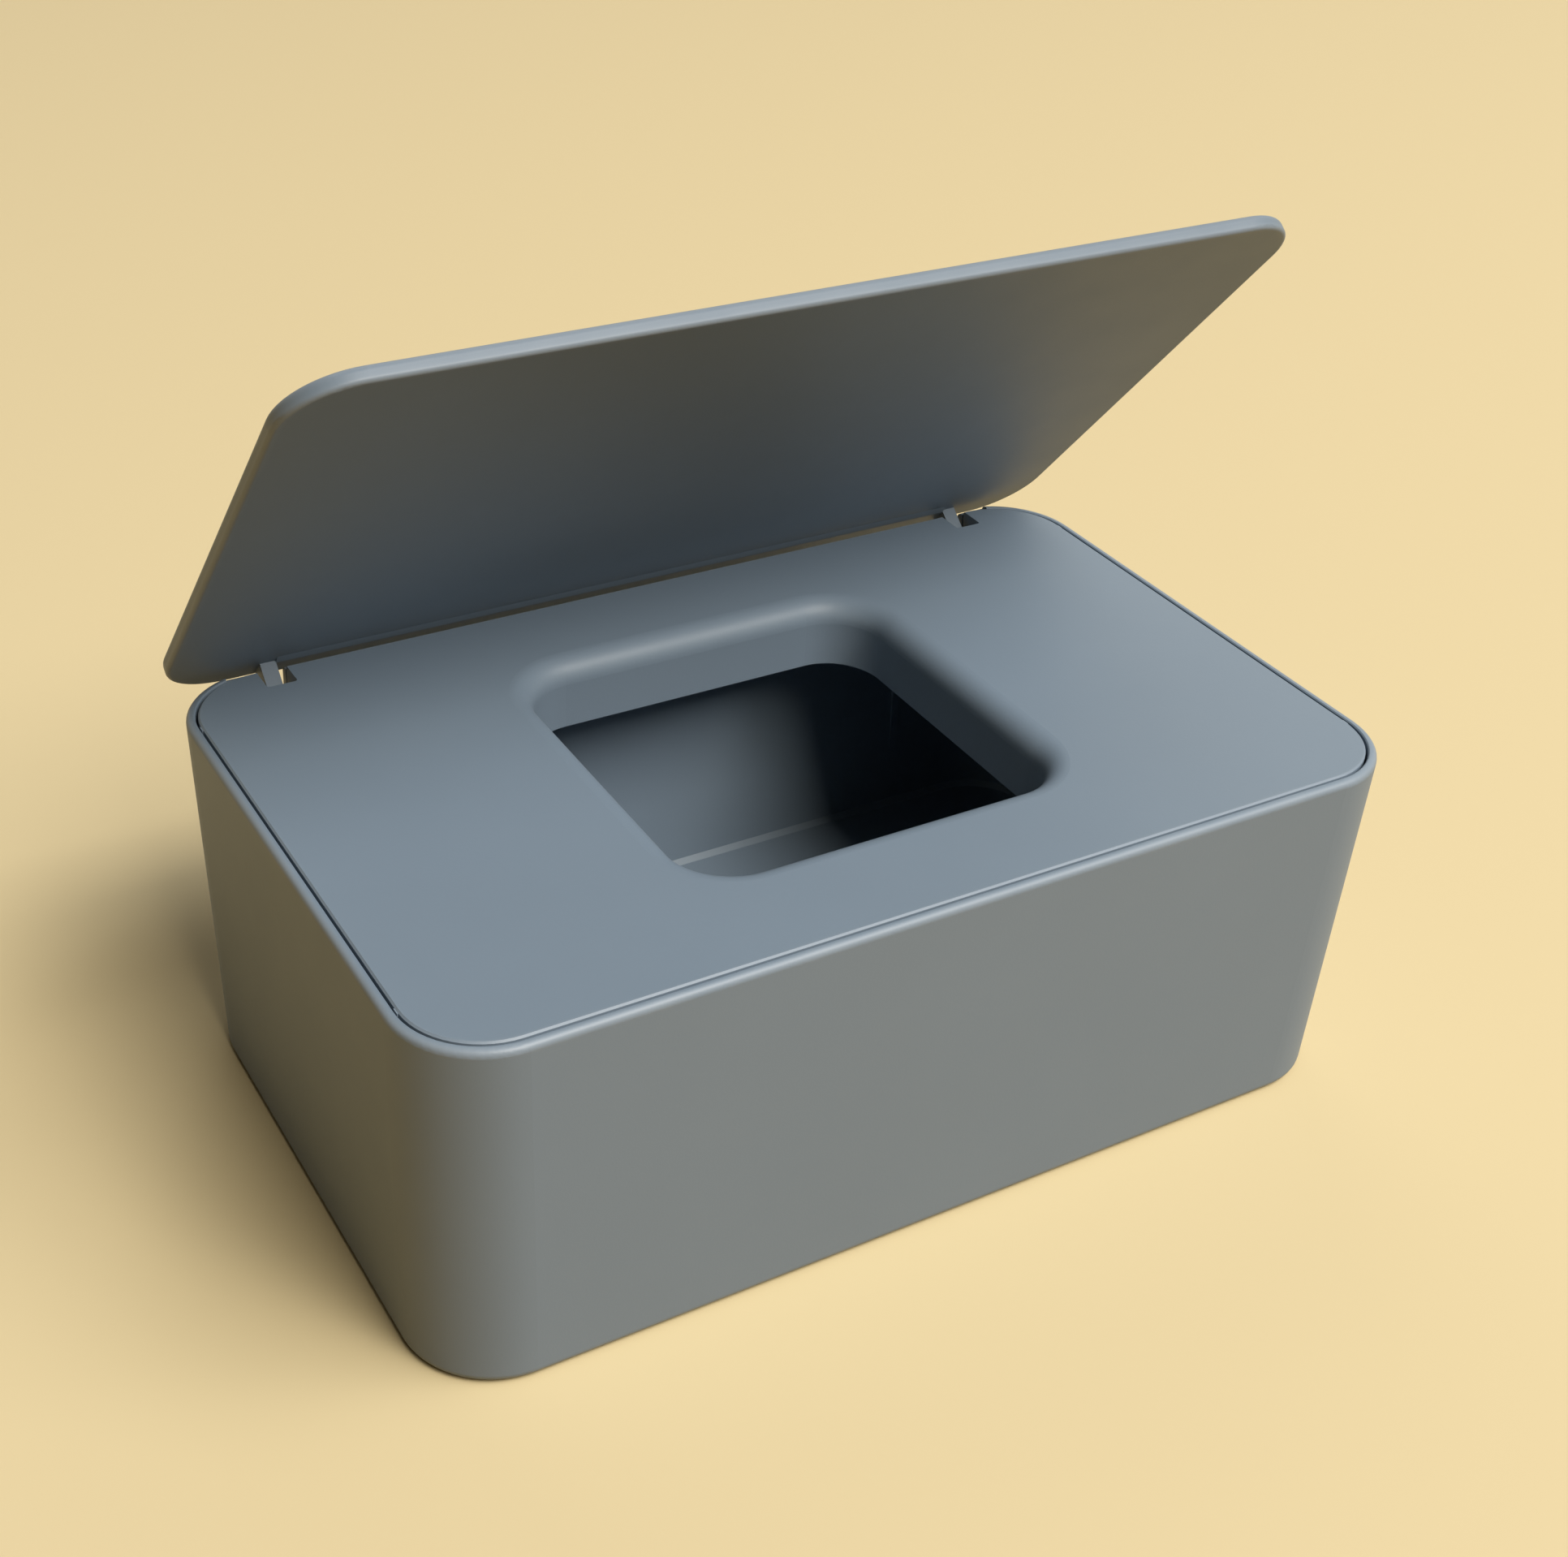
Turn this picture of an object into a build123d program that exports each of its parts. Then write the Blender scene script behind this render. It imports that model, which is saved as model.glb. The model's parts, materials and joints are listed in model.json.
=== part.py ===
from build123d import *
import math
import os

# Countertop wipes dispenser: a drafted tub, a lift-out inner cover with a rolled dispensing
# opening, and a flip lid whose two arms turn on steel pins held in ears under the cover.
# Frame: millimetres, +Z up, X along the long side, the hinge at +Y. The origin is on the
# table, under the middle of the tub.

# ---- driving dimensions ----------------------------------------------------------------
TUB_WIDTH = 190.6            # X, at the rim
TUB_DEPTH = 121.0            # Y, at the rim
RIM_HEIGHT = 69.3            # table to the top of the rim
FOOT_LIFT = 0.3              # the rubber feet hold the tub this far off the table
LID_ANGLE = 49.2             # how far the lid stands open at rest; 0 is closed

# tub
DRAFT_SIDE = 2.7             # degrees, the short walls
DRAFT_FRONT = 3.0            # degrees, the long walls
CORNER_R = 16.35
WALL = 1.7
FLOOR = 2.2
BASE_ROUND = 1.6
RIM_ROUND = 1.2              # outer edge of the rim
RIM_INNER_CHAMFER = 0.2
STEP_DROP = 0.9              # the rear wall stops this far below the rim, so that the lid swings clear
STEP_INSET = 11.3            # from the tub's sides to each end of that step
STEP_ROUND = 1.4             # outer edge of the step
CAVITY_CHAMFER = 1.0         # floor to wall, inside
RIB_WIDTH = 1.6
RIB_INSET = 32.5             # from the tub's corner to the nearest rib

# inner cover
COVER_PROUD = 0.1            # the cover's top stands this far above the rim
COVER_GAP = 0.5              # between the rim and the cover's edge
PLATE = 2.0
COVER_CHAMFER = 0.3
SKIRT_SETBACK = 0.4          # the skirt stands in from the plate's edge
SKIRT_WALL = 1.5
SKIRT_DEPTH = 5.0
RIB_REACH = 0.4              # how far a rib's ledge runs in past the skirt
NIB_WIDTH = 1.4              # the small locating nibs on the plate's short edges
NIB_REACH = 0.2

# dispensing opening
OPENING_WIDTH = 73.4
OPENING_DEPTH = 71.5
OPENING_SHIFT = 0.65         # the opening's middle lies this far behind the tub's
OPENING_CORNER_R = 10.5
ROLL_R = 4.5                 # the rolled edge, on its top side
FLANGE_WALL = 2.0
FLANGE_DEPTH = 13.8          # below the cover's top
LIP_CHAMFER = 0.4

# hinge
PIN_INSET = 4.0              # pin's axis ahead of the tub's rear edge
PIN_DROP = 6.05              # pin's axis below the rim
ARM_INSET = 19.9             # middle of each arm, in from the tub's side
PIN_R = 0.9
PIN_LENGTH = 9.0
PIN_CHAMFER = 0.25
PIN_RUNNING_GAP = 0.05       # pin to ear, on the radius
PIN_SEAT_GAP = 0.01          # pin to arm, on the radius: a push fit
ARM_SIDE_GAP = 1.35          # each side of an arm, in the cover's notch and the tub's slot
ARM_FRONT_GAP = 1.6          # ahead of an arm, in the cover's notch
NOTCH_CORNER_R = 0.5
SLOT_DROP = 2.85             # floor of the slot in the tub's rear wall, below the pin
EAR_THICK = 2.0
EAR_FRONT_WALL = 1.3         # round the pin's bore
EAR_REAR_WALL = 0.7
EAR_LOWER_WALL = 0.95
EAR_ROUND = 1.2
EAR_WALL_GAP = 0.1           # the ears stay this far inside the plate's outline
SKIRT_BREAK = 14.0           # length of skirt left out at each hinge

# flip lid
LID_SIDE_REACH = 0.1         # past the rim, each side
LID_FRONT_REACH = 0.05       # past the rim
LID_REAR_REACH = 2.75        # behind the pin, with the lid closed
LID_GAP = 1.05               # over the rim, with the lid closed
LID_THICK = 3.1
LID_CORNER_R = 12.7
LID_TOP_ROUND = 1.2
LID_UNDER_ROUND = 0.8
BAND_PROUD = 0.45            # the underside is thicker by this along the hinge, between the arms
BAND_START = 4.3             # ahead of the pin
BAND_SLOPE = 1.8             # length of the band's sloping front
ARM_WIDTH = 3.0
ARM_FRONT_WALL = 1.7         # round the pin's bore
ARM_REAR_WALL = 0.8
ARM_LOWER_WALL = 0.85
ARM_ROUND = 1.2
ARM_ROOT = 0.5               # how far an arm runs up into the lid

# feet
FOOT_R = 4.0
FOOT_POCKET = 1.1
FOOT_GAP = 0.2
FOOT_CHAMFER = 0.2
FOOT_INSET = 20.0            # middle of each foot, in from the tub's sides

# ---- worked out from them --------------------------------------------------------------
draft_x = math.tan(math.radians(DRAFT_SIDE))
draft_y = math.tan(math.radians(DRAFT_FRONT))
cavity_floor = FOOT_LIFT + FLOOR
cover_top = RIM_HEIGHT + COVER_PROUD
plate_under = cover_top - PLATE
skirt_bottom = plate_under - SKIRT_DEPTH
cover_width = TUB_WIDTH - 2 * (WALL + COVER_GAP)
cover_depth = TUB_DEPTH - 2 * (WALL + COVER_GAP)
cover_corner_r = CORNER_R - WALL - COVER_GAP
rib_ledge = COVER_GAP + SKIRT_SETBACK + SKIRT_WALL + RIB_REACH
beyond = 1.0                 # cutters run this far past what they cut

hinge_y = TUB_DEPTH / 2 - PIN_INSET
hinge_z = RIM_HEIGHT - PIN_DROP
hinge_xs = (ARM_INSET - TUB_WIDTH / 2, TUB_WIDTH / 2 - ARM_INSET)
ear_front = PIN_R + EAR_FRONT_WALL
ear_rear = PIN_R + EAR_REAR_WALL
ear_drop = PIN_R + EAR_LOWER_WALL
arm_front = PIN_R + ARM_FRONT_WALL
arm_rear = PIN_R + ARM_REAR_WALL
arm_drop = PIN_R + ARM_LOWER_WALL
notch_width = ARM_WIDTH + 2 * ARM_SIDE_GAP
notch_front = arm_front + ARM_FRONT_GAP
lid_width = TUB_WIDTH + 2 * LID_SIDE_REACH
lid_depth = TUB_DEPTH / 2 + LID_FRONT_REACH + hinge_y + LID_REAR_REACH
lid_rise = PIN_DROP + LID_GAP

open_angle = math.radians(LID_ANGLE)
hinge_line = Vector(0, hinge_y, hinge_z)
lid_out = (0, math.sin(open_angle), math.cos(open_angle))      # away from the lid's underside
lid_back = (0, math.cos(open_angle), -math.sin(open_angle))    # along the lid, front to hinge
lid_frame = Plane(origin=hinge_line, x_dir=(1, 0, 0), z_dir=lid_out)
arm_side = Plane(origin=hinge_line, x_dir=lid_back, z_dir=(1, 0, 0))
ear_side = Plane(origin=hinge_line, x_dir=(0, 1, 0), z_dir=(1, 0, 0))


def drafted_block(block, inset, base_z, corner_r):
    """Makes the tub's form, drawn in all round by inset, from base_z up to the rim."""
    walls = ((Plane.XZ, TUB_WIDTH, draft_x, Mode.ADD), (Plane.YZ, TUB_DEPTH, draft_y, Mode.INTERSECT))
    for plane, size, draft, mode in walls:
        top = size / 2 - inset
        base = top - draft * (RIM_HEIGHT - base_z)
        with BuildSketch(plane) as profile:
            Polygon((-base, base_z), (base, base_z), (top, RIM_HEIGHT), (-top, RIM_HEIGHT), align=None)
        extrude(profile.sketch, amount=TUB_WIDTH, both=True, mode=mode)
    fillet(block.edges().group_by(Axis.Z)[1], corner_r)


def finish(piece, name):
    """Labels a finished piece and writes its STEP file."""
    piece.part.label = name
    export_step(piece.part, f"parts/{name}.step")


os.makedirs("parts", exist_ok=True)

# ---- tub -------------------------------------------------------------------------------
with BuildPart() as cavity:
    drafted_block(cavity, WALL, cavity_floor, CORNER_R - WALL)
    chamfer(cavity.faces().sort_by(Axis.Z)[0].edges(), CAVITY_CHAMFER)

    # ribs on the walls carry the cover's skirt
    with BuildSketch(Plane.XY.offset(cavity_floor)):
        with GridLocations(TUB_WIDTH - 2 * RIB_INSET, TUB_DEPTH - 2 * WALL, 2, 2):
            Rectangle(RIB_WIDTH, 2 * rib_ledge)
        with GridLocations(TUB_WIDTH - 2 * WALL, TUB_DEPTH - 2 * RIB_INSET, 2, 2):
            Rectangle(2 * rib_ledge, RIB_WIDTH)
    extrude(amount=skirt_bottom - cavity_floor, mode=Mode.SUBTRACT)

with BuildPart() as tub:
    drafted_block(tub, 0, FOOT_LIFT, CORNER_R)
    fillet(tub.faces().sort_by(Axis.Z)[0].edges(), BASE_ROUND)
    fillet(tub.faces().sort_by(Axis.Z)[-1].edges(), RIM_ROUND)
    add(cavity.part, mode=Mode.SUBTRACT)
    chamfer(tub.faces().filter_by(Plane.XY).sort_by(Axis.Z)[-1].inner_wires()[0].edges(), RIM_INNER_CHAMFER)

    # the rear wall is stepped down between its corners, with a round outer edge
    step_reach = 2 * (WALL + beyond)
    with BuildSketch(Plane.YZ):
        with Locations((TUB_DEPTH / 2, RIM_HEIGHT)):
            Rectangle(step_reach, 2 * (STEP_DROP + STEP_ROUND))
        with Locations((TUB_DEPTH / 2 - STEP_ROUND, RIM_HEIGHT - STEP_DROP - STEP_ROUND)):
            Circle(STEP_ROUND, mode=Mode.SUBTRACT)
            Rectangle(step_reach, 2 * STEP_ROUND, align=(Align.MAX, Align.CENTER), mode=Mode.SUBTRACT)
    extrude(amount=TUB_WIDTH / 2 - STEP_INSET, both=True, mode=Mode.SUBTRACT)

    # slots in the rear wall let the arms swing back
    with BuildSketch(Plane.XZ.offset(-hinge_y)):
        with Locations(*[(x, RIM_HEIGHT) for x in hinge_xs]):
            RectangleRounded(notch_width, 2 * (PIN_DROP + SLOT_DROP), NOTCH_CORNER_R)
    extrude(amount=-(PIN_INSET + beyond), mode=Mode.SUBTRACT)

    # pockets for the feet
    with BuildSketch(Plane.XY.offset(FOOT_LIFT)):
        with GridLocations(TUB_WIDTH - 2 * FOOT_INSET, TUB_DEPTH - 2 * FOOT_INSET, 2, 2):
            Circle(FOOT_R + FOOT_GAP)
    extrude(amount=FOOT_POCKET, mode=Mode.SUBTRACT)
finish(tub, "tub")

# ---- inner cover -----------------------------------------------------------------------
with BuildPart() as inner_cover:
    with BuildSketch(Plane.XY.offset(plate_under)):
        RectangleRounded(cover_width, cover_depth, cover_corner_r)
    extrude(amount=PLATE)

    # flange round the opening
    with BuildSketch(Plane.XY.offset(cover_top - FLANGE_DEPTH)):
        with Locations((0, OPENING_SHIFT)):
            RectangleRounded(
                OPENING_WIDTH + 2 * FLANGE_WALL,
                OPENING_DEPTH + 2 * FLANGE_WALL,
                OPENING_CORNER_R + FLANGE_WALL,
            )
    extrude(amount=FLANGE_DEPTH - PLATE)
    with BuildSketch(Plane.XY.offset(cover_top)):
        with Locations((0, OPENING_SHIFT)):
            RectangleRounded(OPENING_WIDTH, OPENING_DEPTH, OPENING_CORNER_R)
    extrude(amount=-FLANGE_DEPTH, mode=Mode.SUBTRACT)

    # the rolled edge: two rounds about one centre, so that the wall stays even round the bend
    under_face = inner_cover.faces().filter_by(Plane.XY).sort_by(Axis.Z)[1]
    fillet(under_face.inner_wires()[0].edges(), ROLL_R - FLANGE_WALL)
    top_face = inner_cover.faces().sort_by(Axis.Z)[-1]
    fillet(top_face.inner_wires()[0].edges(), ROLL_R)
    chamfer(inner_cover.faces().sort_by(Axis.Z)[0].edges(), LIP_CHAMFER)
    chamfer(inner_cover.faces().sort_by(Axis.Z)[-1].outer_wire().edges(), COVER_CHAMFER)

    # skirt, broken at the hinges
    with BuildSketch(Plane.XY.offset(skirt_bottom)):
        RectangleRounded(
            cover_width - 2 * SKIRT_SETBACK, cover_depth - 2 * SKIRT_SETBACK, cover_corner_r - SKIRT_SETBACK
        )
        offset(amount=-SKIRT_WALL, mode=Mode.SUBTRACT)
        with Locations(*[(x, hinge_y) for x in hinge_xs]):
            Rectangle(SKIRT_BREAK, 2 * notch_front, mode=Mode.SUBTRACT)
    extrude(amount=SKIRT_DEPTH)

    # ears for the pins, two at each arm, trimmed to the plate's outline
    ear_height = plate_under - hinge_z + ear_drop
    for x in hinge_xs:
        for side in (-1, 1):
            ear_x = x + side * (notch_width + EAR_THICK) / 2
            with BuildSketch(ear_side.offset(ear_x - EAR_THICK / 2)) as ear:
                with Locations(((ear_rear - ear_front) / 2, ear_height / 2 - ear_drop)):
                    Rectangle(ear_front + ear_rear, ear_height)
                fillet(ear.vertices().group_by(Axis.Y)[0], EAR_ROUND)
                Circle(PIN_R + PIN_RUNNING_GAP, mode=Mode.SUBTRACT)
            extrude(amount=EAR_THICK)
    with BuildSketch(Plane.XY.offset(plate_under)):
        Rectangle(TUB_WIDTH, TUB_DEPTH)
        RectangleRounded(
            cover_width - 2 * EAR_WALL_GAP,
            cover_depth - 2 * EAR_WALL_GAP,
            cover_corner_r - EAR_WALL_GAP,
            mode=Mode.SUBTRACT,
        )
    extrude(amount=-(ear_height + beyond), mode=Mode.SUBTRACT)

    # notches for the arms, open to the rear
    with BuildSketch(Plane.XY.offset(plate_under)):
        with Locations(*[(x, hinge_y - notch_front) for x in hinge_xs]):
            RectangleRounded(notch_width, TUB_DEPTH, NOTCH_CORNER_R, align=(Align.CENTER, Align.MIN))
    extrude(amount=PLATE, mode=Mode.SUBTRACT)

    # locating nibs on the short sides, where the corners begin
    with BuildSketch(Plane.XY.offset(plate_under)):
        with GridLocations(cover_width, cover_depth - 2 * cover_corner_r, 2, 2):
            Rectangle(2 * NIB_REACH, NIB_WIDTH)
    extrude(amount=PLATE - COVER_CHAMFER)
finish(inner_cover, "inner_cover")

# ---- flip lid --------------------------------------------------------------------------
with BuildPart() as flip_lid:
    with BuildSketch(lid_frame.offset(lid_rise)):
        with Locations((0, LID_REAR_REACH)):
            RectangleRounded(lid_width, lid_depth, LID_CORNER_R, align=(Align.CENTER, Align.MAX))
    extrude(amount=LID_THICK)
    fillet(flip_lid.faces().filter_by(lid_frame).sort_by(Axis.Z)[-1].edges(), LID_TOP_ROUND)
    fillet(flip_lid.faces().filter_by(lid_frame).sort_by(Axis.Z)[0].edges(), LID_UNDER_ROUND)

    # thicker band along the hinge
    band_half = hinge_xs[1] - ARM_WIDTH / 2
    band_rear = LID_REAR_REACH - LID_UNDER_ROUND
    with BuildSketch(arm_side.offset(-band_half)):
        Polygon(
            (-BAND_START, lid_rise),
            (BAND_SLOPE - BAND_START, lid_rise - BAND_PROUD),
            (band_rear, lid_rise - BAND_PROUD),
            (band_rear, lid_rise + ARM_ROOT),
            (-BAND_START, lid_rise + ARM_ROOT),
            align=None,
        )
    extrude(amount=2 * band_half)

    # arms
    arm_height = arm_drop + lid_rise + ARM_ROOT
    for x in hinge_xs:
        with BuildSketch(arm_side.offset(x - ARM_WIDTH / 2)) as arm:
            with Locations(((arm_rear - arm_front) / 2, arm_height / 2 - arm_drop)):
                Rectangle(arm_front + arm_rear, arm_height)
            fillet(arm.vertices().group_by(Axis.Y)[0], ARM_ROUND)
            Circle(PIN_R + PIN_SEAT_GAP, mode=Mode.SUBTRACT)
        extrude(amount=ARM_WIDTH)
finish(flip_lid, "flip_lid")

# ---- hinge pins ------------------------------------------------------------------------
for x, name in zip(hinge_xs, ("left_hinge_pin", "right_hinge_pin")):
    with BuildPart() as hinge_pin:
        with BuildSketch(ear_side.offset(x - PIN_LENGTH / 2)):
            Circle(PIN_R)
        extrude(amount=PIN_LENGTH)
        chamfer(hinge_pin.edges().filter_by(GeomType.CIRCLE), PIN_CHAMFER)
    finish(hinge_pin, name)

# ---- feet ------------------------------------------------------------------------------
foot_x = TUB_WIDTH / 2 - FOOT_INSET
foot_y = TUB_DEPTH / 2 - FOOT_INSET
for row, y in (("front", -foot_y), ("rear", foot_y)):
    for side, x in (("left", -foot_x), ("right", foot_x)):
        with BuildPart() as foot:
            with BuildSketch(Plane.XY):
                with Locations((x, y)):
                    Circle(FOOT_R)
            extrude(amount=FOOT_LIFT + FOOT_POCKET)
            chamfer(foot.faces().sort_by(Axis.Z)[0].edges(), FOOT_CHAMFER)
        finish(foot, f"{row}_{side}_foot")
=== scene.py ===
"""Dresses the countertop wipes dispenser: moulded plastic, steel hinge pins, rubber feet, a plain studio.

Lengths are in metres and angles in degrees, unless a name or a comment says otherwise.
"""

import json
import logging
import math
from collections.abc import Sequence
from dataclasses import dataclass
from enum import Enum
from typing import Any

import bmesh
import bpy
from mathutils import Matrix, Vector

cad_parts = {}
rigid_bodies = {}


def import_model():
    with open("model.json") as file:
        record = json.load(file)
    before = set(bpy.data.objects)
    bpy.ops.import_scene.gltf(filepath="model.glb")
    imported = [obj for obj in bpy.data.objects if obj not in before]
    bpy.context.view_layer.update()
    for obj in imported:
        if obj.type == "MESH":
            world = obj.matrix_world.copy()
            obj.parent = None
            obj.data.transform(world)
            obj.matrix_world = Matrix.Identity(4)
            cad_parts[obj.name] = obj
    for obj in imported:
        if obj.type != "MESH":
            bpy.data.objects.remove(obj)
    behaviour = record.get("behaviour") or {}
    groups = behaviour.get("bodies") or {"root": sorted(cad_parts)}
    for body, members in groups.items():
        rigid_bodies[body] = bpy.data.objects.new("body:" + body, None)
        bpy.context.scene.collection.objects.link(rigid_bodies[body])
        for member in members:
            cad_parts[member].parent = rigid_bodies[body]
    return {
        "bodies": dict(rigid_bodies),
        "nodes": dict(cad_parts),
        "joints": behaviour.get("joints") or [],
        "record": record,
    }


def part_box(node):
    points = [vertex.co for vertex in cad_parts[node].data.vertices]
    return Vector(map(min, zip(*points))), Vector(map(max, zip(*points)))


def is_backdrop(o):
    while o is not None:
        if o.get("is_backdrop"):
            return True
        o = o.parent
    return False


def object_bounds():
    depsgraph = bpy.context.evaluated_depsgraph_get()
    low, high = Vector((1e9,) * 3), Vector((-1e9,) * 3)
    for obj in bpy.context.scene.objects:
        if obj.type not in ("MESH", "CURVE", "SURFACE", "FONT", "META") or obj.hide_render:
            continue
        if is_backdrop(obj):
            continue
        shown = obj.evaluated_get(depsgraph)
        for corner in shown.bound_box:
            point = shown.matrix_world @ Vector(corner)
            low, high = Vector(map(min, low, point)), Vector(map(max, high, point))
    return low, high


LOG = logging.getLogger("wipes_dispenser")
MM = 0.001
PICTURE_WIDTH = 1932
PICTURE_HEIGHT = 1918

Colour = tuple[float, float, float]
Place = tuple[float, float, float]
Value = bpy.types.NodeSocket | float


class RubAndHighlight(Enum):
    """How strongly a piece's edges are lightened, partly as handling wear and partly as a painted highlight."""

    LIGHT = 0.35
    SOME = 0.6


class NodeSheet:
    """Adds nodes to a node tree and links them."""

    def __init__(self, tree: bpy.types.NodeTree) -> None:
        """Takes the material's, world's or group's node tree to fill."""
        self.tree = tree

    def add(self, kind: str, **settings: Any) -> bpy.types.Node:
        """Adds a node.

        Args:
            kind: the node's type name.
            **settings: properties to set on it.

        Returns:
            The new node.
        """
        node = self.tree.nodes.new(kind)
        for key, value in settings.items():
            setattr(node, key, value)
        return node

    def feed(self, socket: bpy.types.NodeSocket, value: Value | Sequence[float]) -> None:
        """Links a socket into another, or sets its value.

        Args:
            socket: the input to fill.
            value: an output socket, or a plain value.
        """
        if isinstance(value, bpy.types.NodeSocket):
            self.tree.links.new(value, socket)
        else:
            socket.default_value = value

    def math(self, operation: str, *values: Value) -> bpy.types.NodeSocket:
        """Adds a Math node.

        Args:
            operation: the node's operation.
            *values: its inputs in order.

        Returns:
            Its output socket.
        """
        node = self.add("ShaderNodeMath", operation=operation)
        for socket, value in zip(node.inputs, values):
            self.feed(socket, value)
        return node.outputs[0]

    def noise(self, vector: bpy.types.NodeSocket, scale: Value, detail: float) -> bpy.types.NodeSocket:
        """Adds a 3D noise.

        Args:
            vector: the coordinates.
            scale: cells per unit of the coordinates.
            detail: octaves.

        Returns:
            The noise's value, about 0.5 on average.
        """
        node = self.add("ShaderNodeTexNoise")
        self.feed(node.inputs["Vector"], vector)
        self.feed(node.inputs["Scale"], scale)
        self.feed(node.inputs["Detail"], detail)
        return node.outputs["Fac"]

    def spread(self, value: Value, low: Value, high: Value) -> bpy.types.NodeSocket:
        """Maps a mask from 0..1 to low..high.

        Args:
            value: the mask.
            low: the result at 0.
            high: the result at 1.

        Returns:
            The mapped value.
        """
        node = self.add("ShaderNodeMapRange")
        for name, given in (("Value", value), ("To Min", low), ("To Max", high)):
            self.feed(node.inputs[name], given)
        return node.outputs["Result"]

    def place(self, group: bpy.types.NodeTree, values: dict[str, Value | Sequence[float]]) -> bpy.types.Node:
        """Adds a node group and fills its inputs.

        Args:
            group: the shader node group.
            values: what each named input gets.

        Returns:
            The group's node.
        """
        node = self.add("ShaderNodeGroup", node_tree=group)
        for name, value in values.items():
            self.feed(node.inputs[name], value)
        return node


@dataclass(frozen=True)
class GroupSocket:
    """One input or output of a shader node group."""

    name: str
    kind: str = "NodeSocketFloat"
    is_output: bool = False


def new_group(
    name: str, sockets: Sequence[GroupSocket]
) -> tuple[bpy.types.NodeTree, NodeSheet, bpy.types.Node, bpy.types.Node]:
    """Starts a shader node group.

    Args:
        name: the group's name.
        sockets: its inputs and outputs.

    Returns:
        The group, a sheet to fill it, its input node and its output node.
    """
    group = bpy.data.node_groups.new(name, "ShaderNodeTree")
    for socket in sockets:
        way = "OUTPUT" if socket.is_output else "INPUT"
        group.interface.new_socket(socket.name, in_out=way, socket_type=socket.kind)
    sheet = NodeSheet(group)
    return group, sheet, sheet.add("NodeGroupInput"), sheet.add("NodeGroupOutput")


def new_material(name: str) -> tuple[bpy.types.Material, NodeSheet, bpy.types.Node]:
    """Starts a material on a Principled BSDF.

    Args:
        name: the material's name.

    Returns:
        The material, a sheet to fill it, and its shader.
    """
    material = bpy.data.materials.new(name)
    material.use_nodes = True
    return material, NodeSheet(material.node_tree), material.node_tree.nodes["Principled BSDF"]


def add_bump(sheet: NodeSheet, shader: bpy.types.Node, height: bpy.types.NodeSocket, depth: float) -> None:
    """Bumps a shader's normal.

    Args:
        sheet: the material's node sheet.
        shader: the Principled BSDF.
        height: a 0..1 height.
        depth: the height of 1, in metres.
    """
    bump = sheet.add("ShaderNodeBump")
    sheet.feed(bump.inputs["Strength"], 1.0)
    sheet.feed(bump.inputs["Distance"], depth)
    sheet.feed(bump.inputs["Height"], height)
    sheet.feed(shader.inputs["Normal"], bump.outputs["Normal"])


def paint(node: bpy.types.Object, material: bpy.types.Material) -> None:
    """Puts a material in a node's slots.

    Args:
        node: the object to paint.
        material: its material.
    """
    if not node.material_slots:
        node.data.materials.append(material)
    for slot in node.material_slots:
        slot.material = material
    LOG.info("%s: %s", node.name, material.name)


class MouldedGrain:
    """Node group: the fine spark-eroded grain and the faint mottle of a moulded plastic."""

    MOTTLE_SIZE = 0.030
    MOTTLE_DETAIL = 3.0
    FLOW_SIZE = 0.011
    FLOW_DETAIL = 4.0
    GRAIN_DETAIL = 2.0

    def __init__(self) -> None:
        """Builds the group once."""
        self.group, sheet, inp, out = new_group(
            "moulded_grain",
            (
                GroupSocket("Colour", "NodeSocketColor"),
                GroupSocket("Mottle"),
                GroupSocket("Roughness"),
                GroupSocket("Roughness Spread"),
                GroupSocket("Grain Size"),
                GroupSocket("Colour", "NodeSocketColor", is_output=True),
                GroupSocket("Roughness", is_output=True),
                GroupSocket("Height", is_output=True),
            ),
        )
        where = sheet.add("ShaderNodeTexCoord").outputs["Object"]
        mottle = sheet.noise(where, 1.0 / self.MOTTLE_SIZE, self.MOTTLE_DETAIL)
        flow = sheet.noise(where, 1.0 / self.FLOW_SIZE, self.FLOW_DETAIL)
        grain = sheet.noise(where, sheet.math("DIVIDE", 1.0, inp.outputs["Grain Size"]), self.GRAIN_DETAIL)
        lighter = sheet.math("ADD", 1.0, inp.outputs["Mottle"])
        darker = sheet.math("SUBTRACT", 1.0, inp.outputs["Mottle"])
        tint = sheet.add("ShaderNodeVectorMath", operation="SCALE")
        sheet.feed(tint.inputs[0], inp.outputs["Colour"])
        sheet.feed(tint.inputs["Scale"], sheet.spread(mottle, darker, lighter))
        half_spread = sheet.math("MULTIPLY", inp.outputs["Roughness Spread"], 0.5)
        rough = sheet.spread(
            flow,
            sheet.math("SUBTRACT", inp.outputs["Roughness"], half_spread),
            sheet.math("ADD", inp.outputs["Roughness"], half_spread),
        )
        sheet.feed(out.inputs["Colour"], tint.outputs[0])
        sheet.feed(out.inputs["Roughness"], rough)
        sheet.feed(out.inputs["Height"], grain)

    def place(self, sheet: NodeSheet, finish: "PlasticFinish | RubberFinish") -> bpy.types.Node:
        """Adds the group to a material, with a finish's values.

        Args:
            sheet: the material's node sheet.
            finish: the finish that the material is made for.

        Returns:
            The group's node.
        """
        return sheet.place(
            self.group,
            {
                "Colour": (*finish.colour, 1.0),
                "Mottle": finish.mottle,
                "Roughness": finish.roughness,
                "Roughness Spread": finish.roughness_spread,
                "Grain Size": finish.grain_size,
            },
        )


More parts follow.
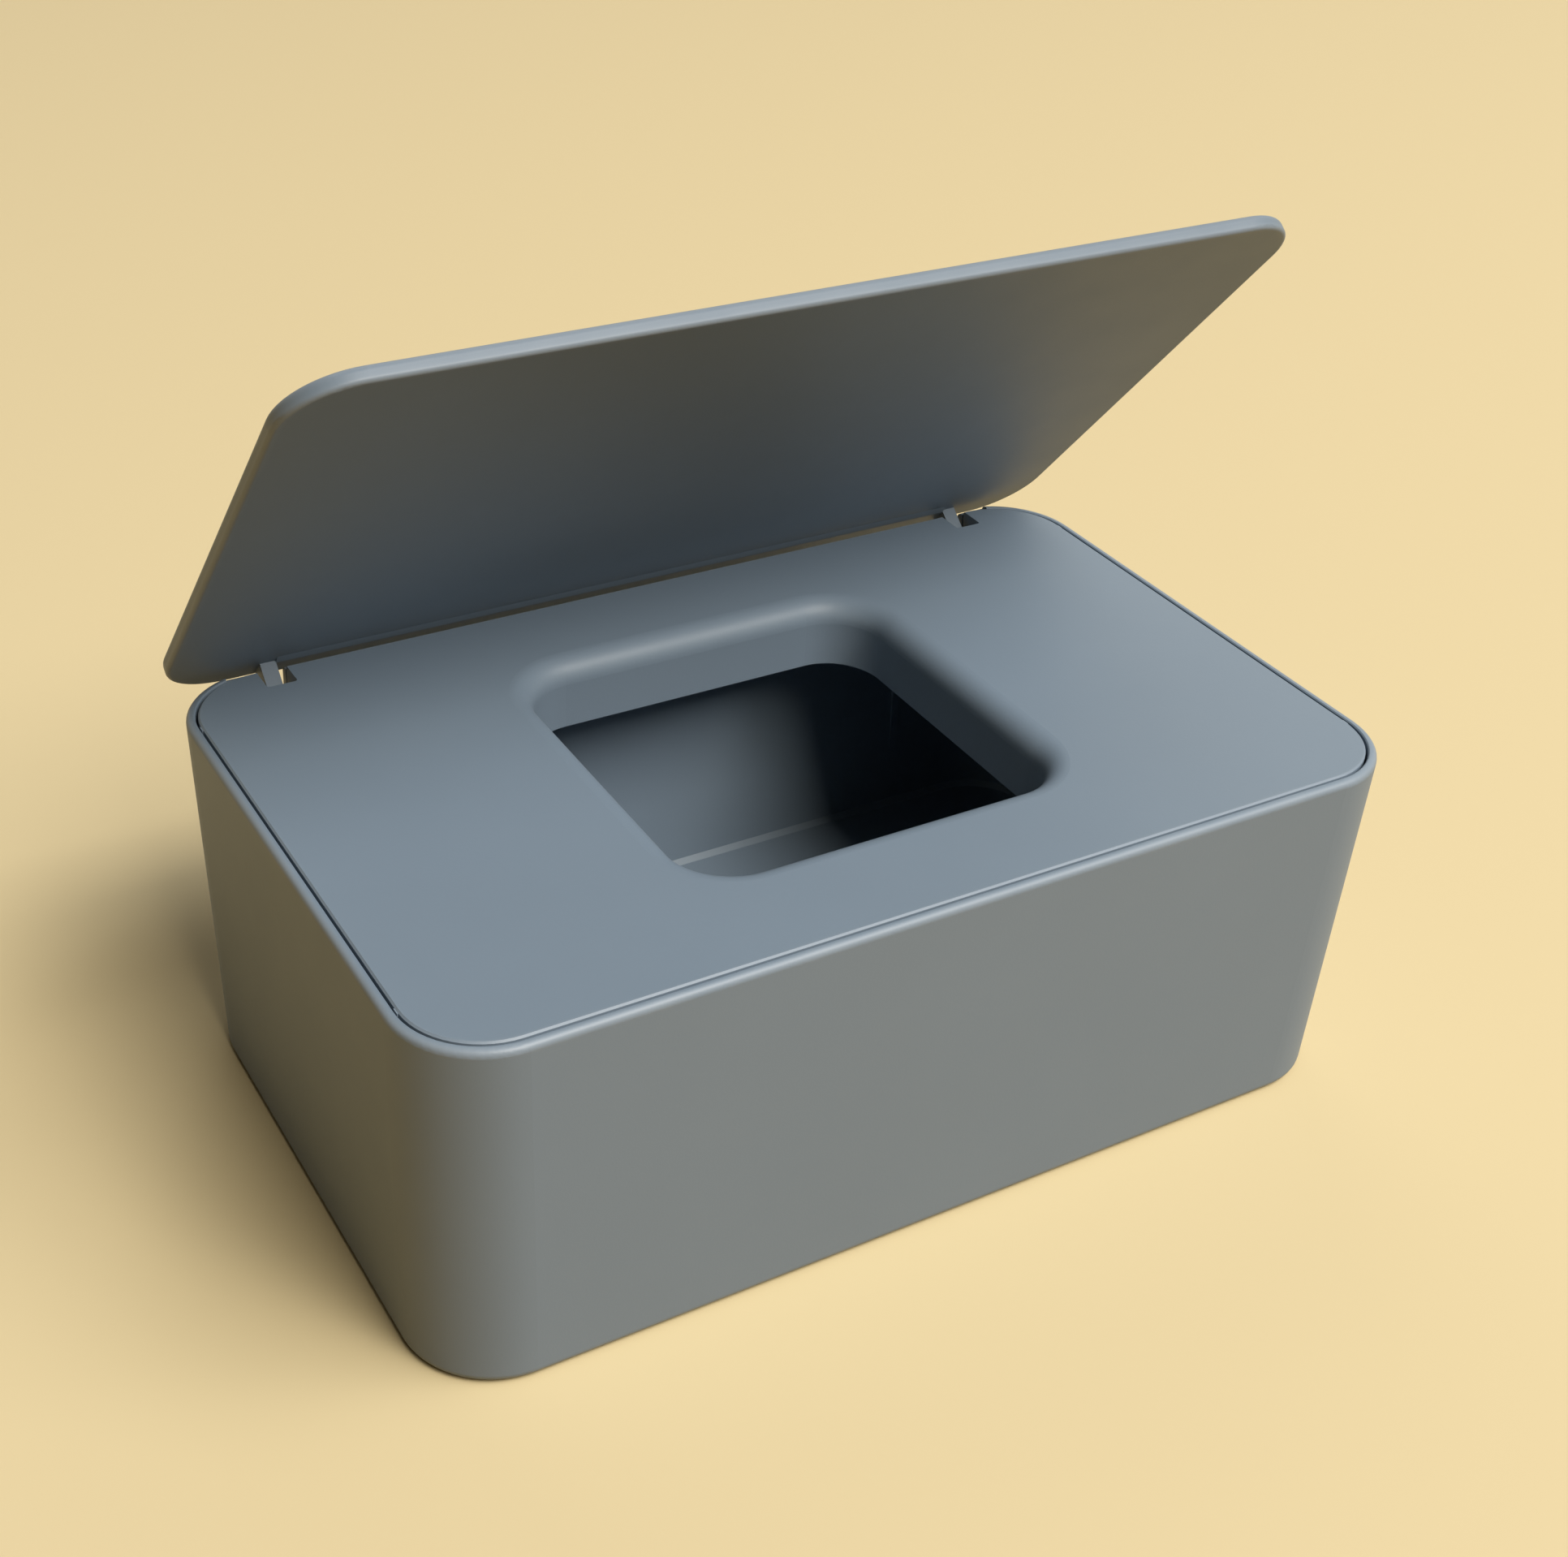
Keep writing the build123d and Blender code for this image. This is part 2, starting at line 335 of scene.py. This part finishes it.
class EdgeRubAndHighlight:
    """Node group: a mask along the top and bottom edges of a round-cornered slab or tub, for edge wear and a
    painted edge highlight.
    """

    PATCH_SIZE = 0.009
    PATCH_DETAIL = 4.0
    NARROWEST = 0.3
    WIDEST = 1.7

    def __init__(self) -> None:
        """Builds the group once."""
        self.group, sheet, inp, out = new_group(
            "edge_rub_and_highlight",
            (
                GroupSocket("Vector", "NodeSocketVector"),
                GroupSocket("Half X"),
                GroupSocket("Half Y"),
                GroupSocket("Corner"),
                GroupSocket("Top"),
                GroupSocket("Bottom"),
                GroupSocket("Draft"),
                GroupSocket("Width"),
                GroupSocket("Mask", is_output=True),
            ),
        )
        split = sheet.add("ShaderNodeSeparateXYZ")
        sheet.feed(split.inputs[0], inp.outputs["Vector"])
        x, y, z = split.outputs
        below_top = sheet.math("SUBTRACT", inp.outputs["Top"], z)
        lean = sheet.math("MULTIPLY", below_top, inp.outputs["Draft"])
        past = []
        for along, half in ((x, "Half X"), (y, "Half Y")):
            reach = sheet.math("SUBTRACT", sheet.math("SUBTRACT", inp.outputs[half], lean), inp.outputs["Corner"])
            past.append(sheet.math("SUBTRACT", sheet.math("ABSOLUTE", along), reach))
        outside = [sheet.math("POWER", sheet.math("MAXIMUM", p, 0.0), 2.0) for p in past]
        corner_reach = sheet.math("SQRT", sheet.math("ADD", *outside))
        flat_reach = sheet.math("MINIMUM", sheet.math("MAXIMUM", *past), 0.0)
        beyond = sheet.math("ADD", corner_reach, flat_reach)
        from_side = sheet.math("SUBTRACT", inp.outputs["Corner"], beyond)
        above_base = sheet.math("SUBTRACT", z, inp.outputs["Bottom"])
        from_flat = sheet.math("MINIMUM", below_top, above_base)
        from_edge = sheet.math("MAXIMUM", from_side, from_flat)
        patchy = sheet.noise(inp.outputs["Vector"], 1.0 / self.PATCH_SIZE, self.PATCH_DETAIL)
        fade = sheet.math("MULTIPLY", inp.outputs["Width"], sheet.spread(patchy, self.NARROWEST, self.WIDEST))
        near = sheet.add("ShaderNodeMapRange", interpolation_type="SMOOTHSTEP")
        for name, given in (("Value", from_edge), ("From Min", fade), ("From Max", 0.0)):
            sheet.feed(near.inputs[name], given)
        sheet.feed(out.inputs["Mask"], near.outputs["Result"])


@dataclass(frozen=True)
class SlabEdges:
    """Where a piece's edges run, in the piece's own upright frame.

    The draft is a slope, and the tilt is in radians.
    """

    half_x: float
    half_y: float
    corner: float
    top: float
    bottom: float
    draft: float = 0.0
    width: float = 0.0016
    centre: Place = (0.0, 0.0, 0.0)
    tilt: float = 0.0

    def inputs(self) -> dict[str, float]:
        """Gives the edge group's inputs.

        Returns:
            The value of each input by its name.
        """
        return {
            "Half X": self.half_x,
            "Half Y": self.half_y,
            "Corner": self.corner,
            "Top": self.top,
            "Bottom": self.bottom,
            "Draft": self.draft,
            "Width": self.width,
        }


@dataclass(frozen=True)
class PlasticFinish:
    """A satin moulded plastic, with its edges lightened partly by wear and partly by a painted highlight."""

    name: str
    colour: Colour
    roughness: float = 0.50
    roughness_spread: float = 0.08
    mottle: float = 0.03
    grain_size: float = 0.00045
    grain_depth: float = 0.000012
    rub_and_highlight: RubAndHighlight = RubAndHighlight.LIGHT
    rub_and_highlight_lift: float = 0.10
    rub_polish: float = 0.10

    def build(self, grain: MouldedGrain, edge_rub_and_highlight: EdgeRubAndHighlight, edges: SlabEdges) -> bpy.types.Material:
        """Makes the material.

        Args:
            grain: the shared grain group.
            edge_rub_and_highlight: the shared edge group.
            edges: where this piece's edges run.

        Returns:
            The material.
        """
        material, sheet, shader = new_material(self.name)
        body = grain.place(sheet, self)
        upright = sheet.add("ShaderNodeMapping", vector_type="TEXTURE")
        sheet.feed(upright.inputs["Vector"], sheet.add("ShaderNodeTexCoord").outputs["Object"])
        sheet.feed(upright.inputs["Location"], edges.centre)
        sheet.feed(upright.inputs["Rotation"], (edges.tilt, 0.0, 0.0))
        mask = sheet.place(edge_rub_and_highlight.group, {"Vector": upright.outputs[0], **edges.inputs()})
        # Lightens the colour along the edges, partly as handling wear and partly as a painted highlight; the
        # polish only lowers the roughness.
        rub_and_highlight_mask = sheet.math("MULTIPLY", mask.outputs["Mask"], self.rub_and_highlight.value)
        tint = sheet.add("ShaderNodeMix", data_type="RGBA")
        sheet.feed(tint.inputs["Factor"], rub_and_highlight_mask)
        sheet.feed(tint.inputs["A"], body.outputs["Colour"])
        rub_and_highlight_colour = tuple(c + (1.0 - c) * self.rub_and_highlight_lift for c in self.colour)
        sheet.feed(tint.inputs["B"], (*rub_and_highlight_colour, 1.0))
        polish = sheet.math("MULTIPLY", rub_and_highlight_mask, self.rub_polish)
        sheet.feed(shader.inputs["Base Color"], tint.outputs["Result"])
        sheet.feed(shader.inputs["Roughness"], sheet.math("SUBTRACT", body.outputs["Roughness"], polish))
        add_bump(sheet, shader, body.outputs["Height"], self.grain_depth)
        return material


@dataclass(frozen=True)
class DrawnSteelFinish:
    """Steel wire, with fine draw lines along X."""

    name: str
    colour: Colour = (0.56, 0.56, 0.57)
    roughness: float = 0.28
    line_size: float = 0.00012
    line_length: float = 0.006
    line_depth: float = 0.000004
    line_detail: float = 3.0
    darkest: float = 0.8
    brightest: float = 1.15
    roughness_spread: float = 0.12

    def build(self) -> bpy.types.Material:
        """Makes the material.

        Returns:
            The material.
        """
        material, sheet, shader = new_material(self.name)
        shader.inputs["Metallic"].default_value = 1.0
        stretch = sheet.add("ShaderNodeMapping", vector_type="POINT")
        sheet.feed(stretch.inputs["Vector"], sheet.add("ShaderNodeTexCoord").outputs["Object"])
        sheet.feed(stretch.inputs["Scale"], (1.0 / self.line_length, 1.0 / self.line_size, 1.0 / self.line_size))
        lines = sheet.noise(stretch.outputs[0], 1.0, self.line_detail)
        tint = sheet.add("ShaderNodeMix", data_type="RGBA")
        sheet.feed(tint.inputs["Factor"], lines)
        sheet.feed(tint.inputs["A"], (*(self.darkest * c for c in self.colour), 1.0))
        sheet.feed(tint.inputs["B"], (*(self.brightest * c for c in self.colour), 1.0))
        sheet.feed(shader.inputs["Base Color"], tint.outputs["Result"])
        rough = sheet.spread(lines, self.roughness, self.roughness + self.roughness_spread)
        sheet.feed(shader.inputs["Roughness"], rough)
        add_bump(sheet, shader, lines, self.line_depth)
        return material


@dataclass(frozen=True)
class RubberFinish:
    """Matte grey rubber with a fine bloom."""

    name: str
    colour: Colour = (0.040, 0.043, 0.047)
    roughness: float = 0.75
    roughness_spread: float = 0.15
    mottle: float = 0.25
    grain_size: float = 0.0006
    grain_depth: float = 0.00002

    def build(self, grain: MouldedGrain) -> bpy.types.Material:
        """Makes the material.

        Args:
            grain: the shared grain group.

        Returns:
            The material.
        """
        material, sheet, shader = new_material(self.name)
        body = grain.place(sheet, self)
        sheet.feed(shader.inputs["Base Color"], body.outputs["Colour"])
        sheet.feed(shader.inputs["Roughness"], body.outputs["Roughness"])
        add_bump(sheet, shader, body.outputs["Height"], self.grain_depth)
        return material


@dataclass
class Tub:
    """The drafted box, open at the top."""

    finish: PlasticFinish
    corner: float = 0.01635
    draft: float = 0.050

    def dress(self, frame: dict[str, Any], grain: MouldedGrain, edge_rub_and_highlight: EdgeRubAndHighlight) -> None:
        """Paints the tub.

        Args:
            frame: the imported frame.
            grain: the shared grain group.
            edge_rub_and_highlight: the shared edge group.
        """
        low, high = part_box("tub")
        edges = SlabEdges(high.x, high.y, self.corner, high.z, low.z, self.draft)
        paint(frame["nodes"]["tub"], self.finish.build(grain, edge_rub_and_highlight, edges))


@dataclass
class InnerCover:
    """The lift-out plate with the rolled dispensing opening."""

    finish: PlasticFinish
    corner: float = 0.01415
    plate: float = 0.002
    rub_and_highlight_width: float = 0.0009

    def dress(self, frame: dict[str, Any], grain: MouldedGrain, edge_rub_and_highlight: EdgeRubAndHighlight) -> None:
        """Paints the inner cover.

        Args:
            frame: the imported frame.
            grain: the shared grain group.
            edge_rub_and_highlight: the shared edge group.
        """
        _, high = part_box("inner_cover")
        edges = SlabEdges(high.x, high.y, self.corner, high.z, high.z - self.plate, width=self.rub_and_highlight_width)
        paint(frame["nodes"]["inner_cover"], self.finish.build(grain, edge_rub_and_highlight, edges))


@dataclass
class FlipLid:
    """The hinged lid, standing open at rest."""

    finish: PlasticFinish
    corner: float = 0.0127
    depth: float = 0.1198
    thick: float = 0.0031
    rise: float = 0.0071
    rear_reach: float = 0.00275
    open_angle: float = math.radians(49.2)

    def dress(self, frame: dict[str, Any], grain: MouldedGrain, edge_rub_and_highlight: EdgeRubAndHighlight) -> None:
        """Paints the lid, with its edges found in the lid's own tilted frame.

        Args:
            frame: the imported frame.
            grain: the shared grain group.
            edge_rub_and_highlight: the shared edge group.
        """
        low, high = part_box("flip_lid")
        joint = next(j for j in frame["joints"] if j["name"] == "lid_hinge")
        turn = Matrix.Rotation(-self.open_angle, 3, "X")
        middle = turn @ Vector((0.0, self.rear_reach - self.depth / 2, self.rise + self.thick / 2))
        centre = Vector(joint["pos_m"]) + middle
        edges = SlabEdges(
            (high.x - low.x) / 2,
            self.depth / 2,
            self.corner,
            self.thick / 2,
            -self.thick / 2,
            centre=tuple(centre),
            tilt=-self.open_angle,
        )
        paint(frame["nodes"]["flip_lid"], self.finish.build(grain, edge_rub_and_highlight, edges))


@dataclass
class HingePins:
    """The two steel pins that the lid turns on."""

    finish: DrawnSteelFinish
    names: tuple[str, str] = ("left_hinge_pin", "right_hinge_pin")

    def dress(self, frame: dict[str, Any]) -> None:
        """Paints the pins.

        Args:
            frame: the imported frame.
        """
        material = self.finish.build()
        for name in self.names:
            paint(frame["nodes"][name], material)


@dataclass
class Feet:
    """The four rubber feet."""

    finish: RubberFinish
    ending: str = "_foot"

    def dress(self, frame: dict[str, Any], grain: MouldedGrain) -> None:
        """Paints the feet.

        Args:
            frame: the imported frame.
            grain: the shared grain group.
        """
        material = self.finish.build(grain)
        for name, node in frame["nodes"].items():
            if name.endswith(self.ending):
                paint(node, material)


def direction(azimuth: float, elevation: float) -> Vector:
    """Gives the unit vector to a viewer, by degrees round from the front towards +X and above the table."""
    a, e = math.radians(azimuth), math.radians(elevation)
    return Vector((math.sin(a) * math.cos(e), -math.cos(a) * math.cos(e), math.sin(e)))


@dataclass(frozen=True)
class Softbox:
    """A square area lamp that looks at the object."""

    name: str
    azimuth: float
    elevation: float
    distance: float
    side: float
    power: float
    colour: Colour = (1.0, 1.0, 1.0)

    def hang(self, target: Vector) -> None:
        """Makes the lamp.

        Args:
            target: the point that it looks at.
        """
        data = bpy.data.lights.new(self.name, "AREA")
        data.shape = "SQUARE"
        data.size = self.side
        data.energy = self.power
        data.color = self.colour
        lamp = bpy.data.objects.new(self.name, data)
        away = direction(self.azimuth, self.elevation)
        lamp.location = target + away * self.distance
        lamp.rotation_euler = away.to_track_quat("Z", "Y").to_euler()
        bpy.context.scene.collection.objects.link(lamp)


@dataclass
class Studio:
    """A plain pale floor and soft light."""

    target: Vector
    floor_radius: float = 2.2
    floor_sides: int = 96
    floor_colour: Colour = (0.68, 0.565, 0.335)
    floor_bounce: Colour = (0.34, 0.195, 0.04)
    floor_roughness: float = 0.75
    floor_gloss: float = 0.1
    background: Colour = (0.76, 0.68, 0.50)
    world_colour: Colour = (1.0, 0.88, 0.70)
    world_strength: float = 0.04
    lamps: tuple[Softbox, ...] = (
        Softbox("key_softbox", 38.0, 54.0, 4.5, 3.2, 182.0, (0.98, 0.98, 0.99)),
        Softbox("front_softbox", 8.0, 50.0, 4.5, 2.2, 145.0, (1.0, 0.92, 0.79)),
        Softbox("side_softbox", 120.0, 35.0, 2.0, 1.3, 2.2),
        Softbox("rear_softbox", 165.0, 45.0, 4.0, 2.4, 20.0),
    )

    @staticmethod
    def shows_background(sheet: NodeSheet) -> bpy.types.NodeSocket:
        """Tells the rays that show a surface from those that only carry its light.

        Args:
            sheet: the node tree that asks.

        Returns:
            A value of 1 for what the camera sees, also in a mirror or through glass.
        """
        rays = sheet.add("ShaderNodeLightPath")
        mirrored = sheet.math("MAXIMUM", rays.outputs["Is Glossy Ray"], rays.outputs["Is Transmission Ray"])
        return sheet.math("MAXIMUM", rays.outputs["Is Camera Ray"], mirrored)

    def lay_floor(self) -> None:
        """Makes the floor disc at table height."""
        mesh = bpy.data.meshes.new("studio_floor")
        disc = bmesh.new()
        bmesh.ops.create_circle(disc, cap_ends=True, segments=self.floor_sides, radius=self.floor_radius)
        disc.to_mesh(mesh)
        disc.free()
        floor = bpy.data.objects.new("studio_floor", mesh)
        bpy.context.scene.collection.objects.link(floor)
        material, sheet, shader = new_material("pale_floor")
        tint = sheet.add("ShaderNodeMix", data_type="RGBA")
        sheet.feed(tint.inputs["Factor"], self.shows_background(sheet))
        sheet.feed(tint.inputs["A"], (*self.floor_bounce, 1.0))
        sheet.feed(tint.inputs["B"], (*self.floor_colour, 1.0))
        sheet.feed(shader.inputs["Base Color"], tint.outputs["Result"])
        shader.inputs["Roughness"].default_value = self.floor_roughness
        shader.inputs["Specular IOR Level"].default_value = self.floor_gloss
        mesh.materials.append(material)
        floor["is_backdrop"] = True

    def light_world(self) -> None:
        """Lights the scene softly from all round, and shows a pale background behind the floor."""
        world = bpy.data.worlds.new("studio_world")
        world.use_nodes = True
        sheet = NodeSheet(world.node_tree)
        soft = world.node_tree.nodes["Background"]
        soft.inputs["Color"].default_value = (*self.world_colour, 1.0)
        soft.inputs["Strength"].default_value = self.world_strength
        pale = sheet.add("ShaderNodeBackground")
        pale.inputs["Color"].default_value = (*self.background, 1.0)
        mix = sheet.add("ShaderNodeMixShader")
        sheet.feed(mix.inputs[0], self.shows_background(sheet))
        sheet.feed(mix.inputs[1], soft.outputs[0])
        sheet.feed(mix.inputs[2], pale.outputs[0])
        sheet.feed(world.node_tree.nodes["World Output"].inputs["Surface"], mix.outputs[0])
        bpy.context.scene.world = world

    def build(self) -> None:
        """Makes the floor, the world and the lamps."""
        self.lay_floor()
        self.light_world()
        for lamp in self.lamps:
            lamp.hang(self.target)


@dataclass
class ViewCamera:
    """A camera that is rolled a little and shifted upright, with its optical axis at a given row of pixels."""

    azimuth: float = -31.85
    elevation: float = 25.54
    roll: float = 3.03
    distance: float = 427.6 * MM
    target: Place = (3.6 * MM, 11.2 * MM, 111.1 * MM)
    focal_pixels: float = 2988.9
    axis_row: float = 599.0
    sensor_width_mm: float = 36.0
    clip_start: float = 10.0 * MM

    def build(self) -> None:
        """Makes the scene's camera."""
        data = bpy.data.cameras.new("view_camera")
        data.sensor_width = self.sensor_width_mm
        data.lens = self.focal_pixels * self.sensor_width_mm / PICTURE_WIDTH
        data.shift_y = (self.axis_row - PICTURE_HEIGHT / 2) / PICTURE_WIDTH
        data.clip_start = self.clip_start
        back = direction(self.azimuth, self.elevation)
        right = (-back).cross(Vector((0.0, 0.0, 1.0))).normalized()
        up = right.cross(-back)
        turn = math.radians(self.roll)
        across = right * math.cos(turn) + up * math.sin(turn)
        upward = up * math.cos(turn) - right * math.sin(turn)
        camera = bpy.data.objects.new("view_camera", data)
        stand = Matrix.Translation(Vector(self.target) + back * self.distance)
        camera.matrix_world = stand @ Matrix((across, upward, back)).transposed().to_4x4()
        bpy.context.scene.collection.objects.link(camera)
        bpy.context.scene.camera = camera


def main() -> None:
    """Builds the dressed dispenser and its studio."""
    logging.basicConfig(level=logging.INFO)
    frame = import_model()
    cad_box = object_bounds()
    bpy.context.scene.view_settings.view_transform = "Standard"
    ViewCamera().build()
    Studio(target=(cad_box[0] + cad_box[1]) / 2).build()

    grain = MouldedGrain()
    edge_rub_and_highlight = EdgeRubAndHighlight()
    blue_grey: Colour = (0.178, 0.233, 0.297)
    # The lid is the same plastic as blue_grey, darkened by about a sixth as painted shade for the open lid's
    # shaded underside.
    lid_grey_painted_shade: Colour = (0.149, 0.195, 0.248)
    Tub(PlasticFinish("tub_blue_grey", blue_grey, rub_and_highlight=RubAndHighlight.SOME)).dress(frame, grain, edge_rub_and_highlight)
    InnerCover(PlasticFinish("cover_blue_grey", blue_grey)).dress(frame, grain, edge_rub_and_highlight)
    FlipLid(PlasticFinish("lid_blue_grey_painted_shade", lid_grey_painted_shade)).dress(frame, grain, edge_rub_and_highlight)
    HingePins(DrawnSteelFinish("pin_steel")).dress(frame)
    Feet(RubberFinish("foot_rubber")).dress(frame, grain)


if __name__ == "__main__":
    main()
